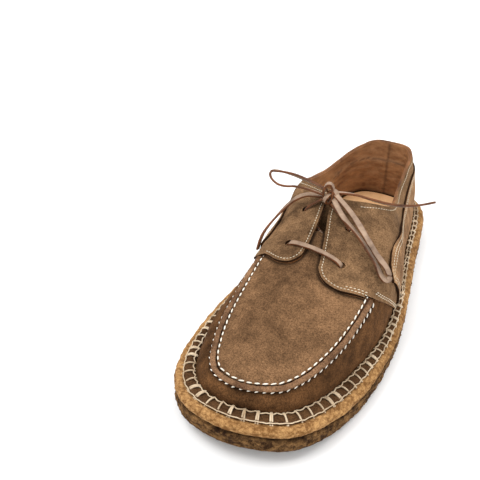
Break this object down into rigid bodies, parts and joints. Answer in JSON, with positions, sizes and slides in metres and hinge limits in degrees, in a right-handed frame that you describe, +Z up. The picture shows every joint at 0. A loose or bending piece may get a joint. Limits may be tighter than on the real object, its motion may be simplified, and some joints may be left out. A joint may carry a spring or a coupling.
{
  "type": "moccasin shoe",
  "caption": "Low suede moccasin for the left foot, with a raised apron seam, an open-laced leather thong tied in a bow, and a thick crepe sole sewn on with ladder stitching.",
  "frame": {"origin": "on the ground under the middle of the sole's length and width", "axes": "+Y from toe to heel along the shoe, +X towards the outer side of the foot, +Z up"},
  "size_m": [0.1208, 0.3, 0.0965],
  "materials": {
    "crepe_dark": "pebbled natural crepe, darkened",
    "crepe": "natural crepe",
    "board": "fibre board",
    "sock": "smooth vegetable-tanned",
    "suede_dark": "waxed suede",
    "suede": "waxed suede",
    "suede_roll": "creased suede edge",
    "lining": "smooth, vegetable-tanned",
    "thread": "waxed thread",
    "waxed_thread": "thick waxed thread",
    "lace": "flat cut thong"
  },
  "bodies": {
    "shoe": {"outsole": "crepe_dark", "midsole": "crepe", "insole_board": "board", "sock_lining": "sock", "flange": "suede_dark", "vamp": "suede_dark", "vamp_lining": "lining", "apron": "suede", "apron_lining": "lining", "apron_seam_roll": "suede_roll", "quarter_lateral": "suede", "quarter_medial": "suede", "quarter_lining_lateral": "lining", "quarter_lining_medial": "lining", "heel_counter": "suede_dark", "heel_stiffener": "board", "tongue_root": "suede_dark", "apron_inner_stitching": "thread", "apron_outer_stitching": "thread", "welt_stitching": "waxed_thread", "quarter_stitching_lateral": "thread", "quarter_stitching_medial": "thread", "counter_stitching": "thread", "topline_stitching": "thread", "lace_run": "lace", "lace_knot": "lace", "lace_loop_medial": "lace", "lace_loop_lateral": "lace", "lace_end_medial": "lace", "lace_end_lateral": "lace"},
    "tongue": {"tongue": "suede_dark"}
  },
  "joints": [
    {"name": "tongue_fold", "type": "hinge", "parent": "shoe", "child": "tongue", "pos_m": [-0.001, -0.0362, 0.0525], "axis": [1, 0, 0], "range_deg": [-15, 0]}
  ]
}
